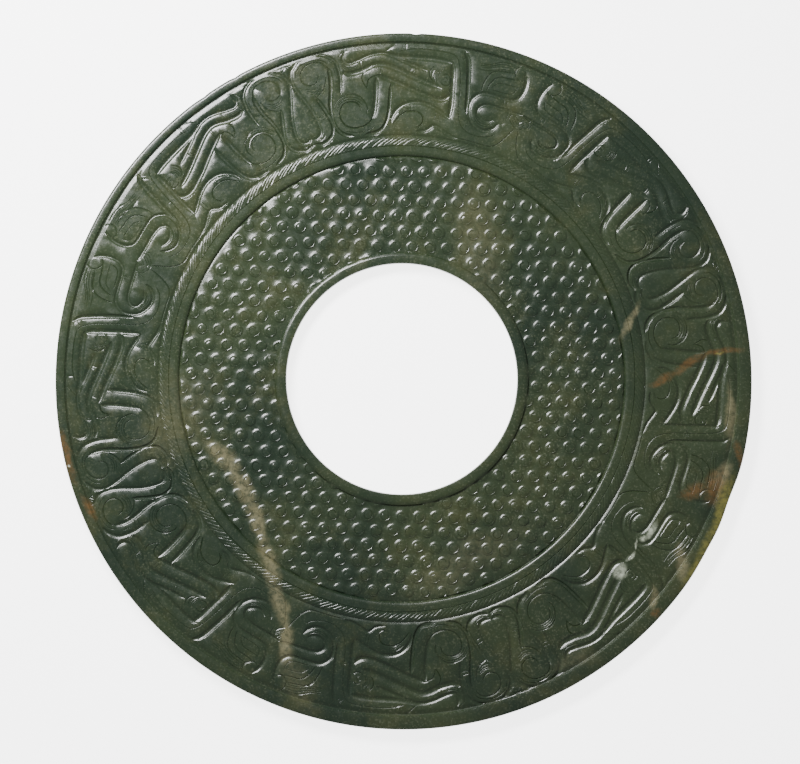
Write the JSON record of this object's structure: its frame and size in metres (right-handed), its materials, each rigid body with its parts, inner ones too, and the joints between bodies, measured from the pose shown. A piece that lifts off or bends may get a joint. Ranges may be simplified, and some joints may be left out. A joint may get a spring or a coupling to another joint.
{
  "type": "jade bi disc",
  "caption": "Flat round disc of dark green jade with a large central hole, a field of grain bosses and a band of carved beast masks and interlaced dragons.",
  "frame": {"origin": "middle of the outer outline, on the surface that the disc lies on", "axes": "+Z through the hole, out of the carved face; +Y towards the top of the disc as it is shown, with masks about 24 degrees off each axis"},
  "size_m": [0.23, 0.23, 0.0055],
  "materials": {
    "jade": "polished dark green nephrite with brown and milky veins and a soft gloss"
  },
  "bodies": {
    "root": {"bi_disc": "jade"}
  },
  "joints": []
}
